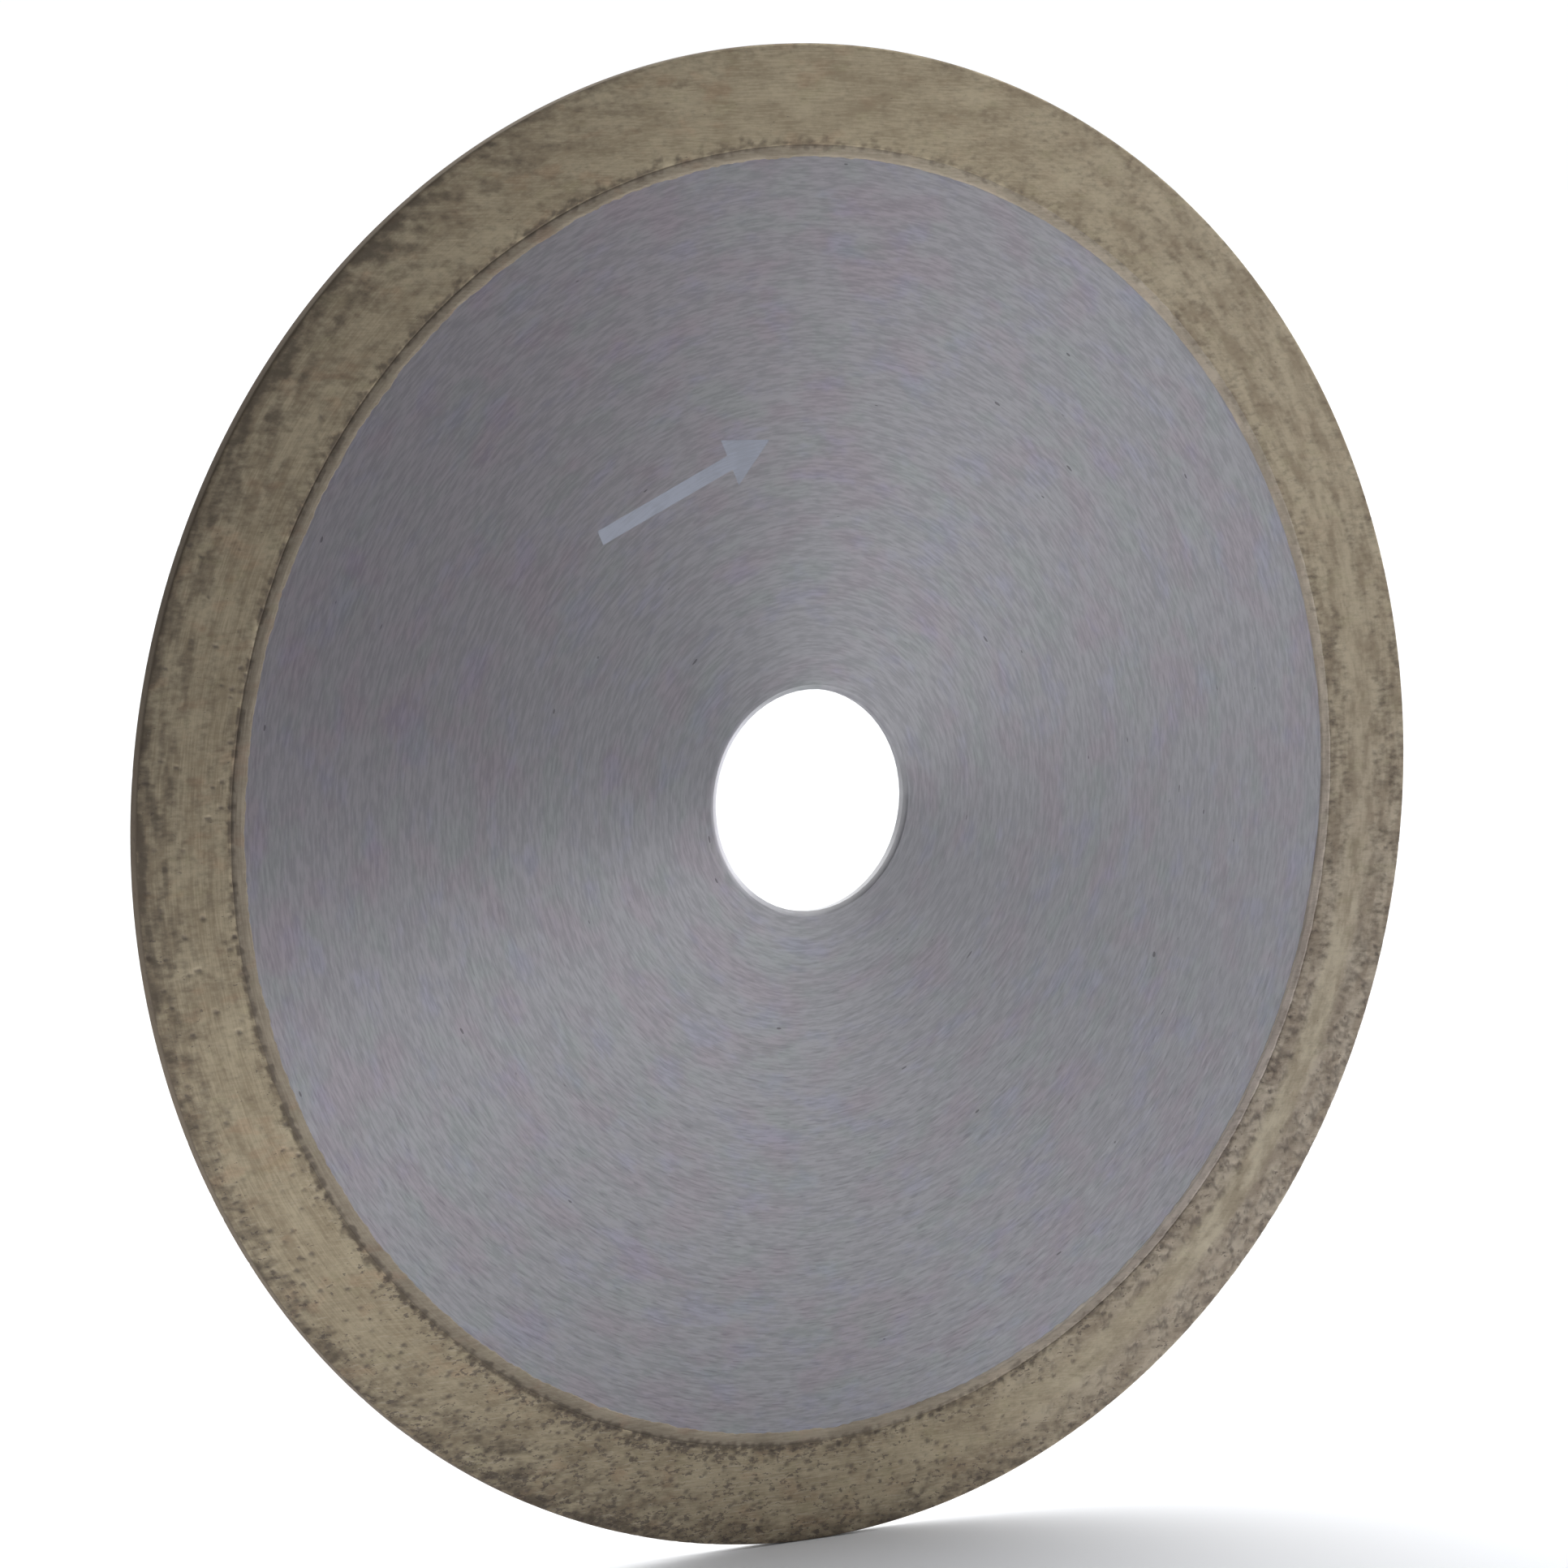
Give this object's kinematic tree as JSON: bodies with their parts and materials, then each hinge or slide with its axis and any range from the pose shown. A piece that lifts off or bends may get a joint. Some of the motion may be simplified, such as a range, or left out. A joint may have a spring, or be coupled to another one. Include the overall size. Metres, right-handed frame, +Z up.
{
  "type": "diamond grinding wheel",
  "caption": "Thin flat continuous-rim diamond wheel: ground steel core with a plain bore, sintered bronze diamond rim, and a rotation arrow, for cutting and grinding stone.",
  "frame": {"origin": "centre of the wheel, on the bore's axis and midway through its thickness", "axes": "+Y along the bore's axis, from the printed front face to the plain back face; +Z up in the wheel's plane"},
  "size_m": [0.15, 0.0016, 0.15],
  "materials": {
    "steel": "fine concentric grinding lines",
    "backing_bronze": "ground, dull",
    "bond_bronze": "sintered, porous and stained",
    "diamond": "small pale crystals, faceted",
    "ink": "thin pale print"
  },
  "bodies": {
    "root": {"steel_core": "steel", "backing_ring": "backing_bronze", "diamond_rim": "bond_bronze", "diamond_grit": "diamond", "rotation_arrow": "ink"}
  },
  "joints": []
}
